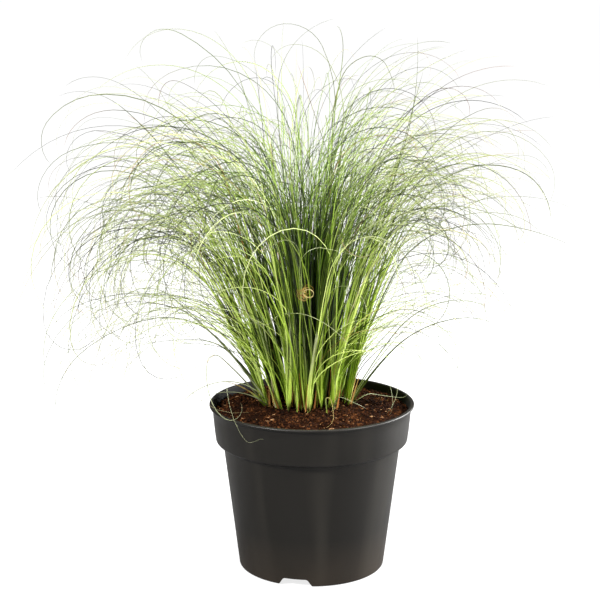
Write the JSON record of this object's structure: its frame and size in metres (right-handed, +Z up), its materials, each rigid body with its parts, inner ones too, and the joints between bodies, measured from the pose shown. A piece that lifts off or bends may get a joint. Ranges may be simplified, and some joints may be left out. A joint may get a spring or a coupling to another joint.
{
  "type": "potted ornamental grass clump",
  "caption": "Clump of hair-fine arching grass leaves growing in compost in a round black nursery pot with a deep collar.",
  "frame": {"origin": "middle of the overall box's underside, which is on the pot's axis in the plane of its foot", "axes": "+Z up along the pot's axis, -Y towards the front of the plant as it is usually seen, +X to the right from there"},
  "size_m": [0.4888, 0.3993, 0.5044],
  "materials": {
    "pot_plastic": "satin black moulded polypropylene",
    "compost": "moist dark brown peat crumbs",
    "outer_leaf": "pale grey-green leaf, hair-fine, satin",
    "inner_leaf": "yellow-green leaf, fine, satin",
    "centre_leaf": "fresh green leaf, fine, satin"
  },
  "bodies": {
    "root": {"pot": "pot_plastic", "soil": "compost", "outer_tuft_01": "outer_leaf", "outer_tuft_02": "outer_leaf", "outer_tuft_03": "outer_leaf", "outer_tuft_04": "outer_leaf", "outer_tuft_05": "outer_leaf", "outer_tuft_06": "outer_leaf", "outer_tuft_07": "outer_leaf", "outer_tuft_08": "outer_leaf", "outer_tuft_09": "outer_leaf", "outer_tuft_10": "outer_leaf", "outer_tuft_11": "outer_leaf", "outer_tuft_12": "outer_leaf", "inner_tuft_01": "inner_leaf", "inner_tuft_02": "inner_leaf", "inner_tuft_03": "inner_leaf", "inner_tuft_04": "inner_leaf", "inner_tuft_05": "inner_leaf", "inner_tuft_06": "inner_leaf", "centre_tuft_01": "centre_leaf", "centre_tuft_02": "centre_leaf", "centre_tuft_03": "centre_leaf", "centre_tuft_04": "centre_leaf"}
  },
  "joints": []
}
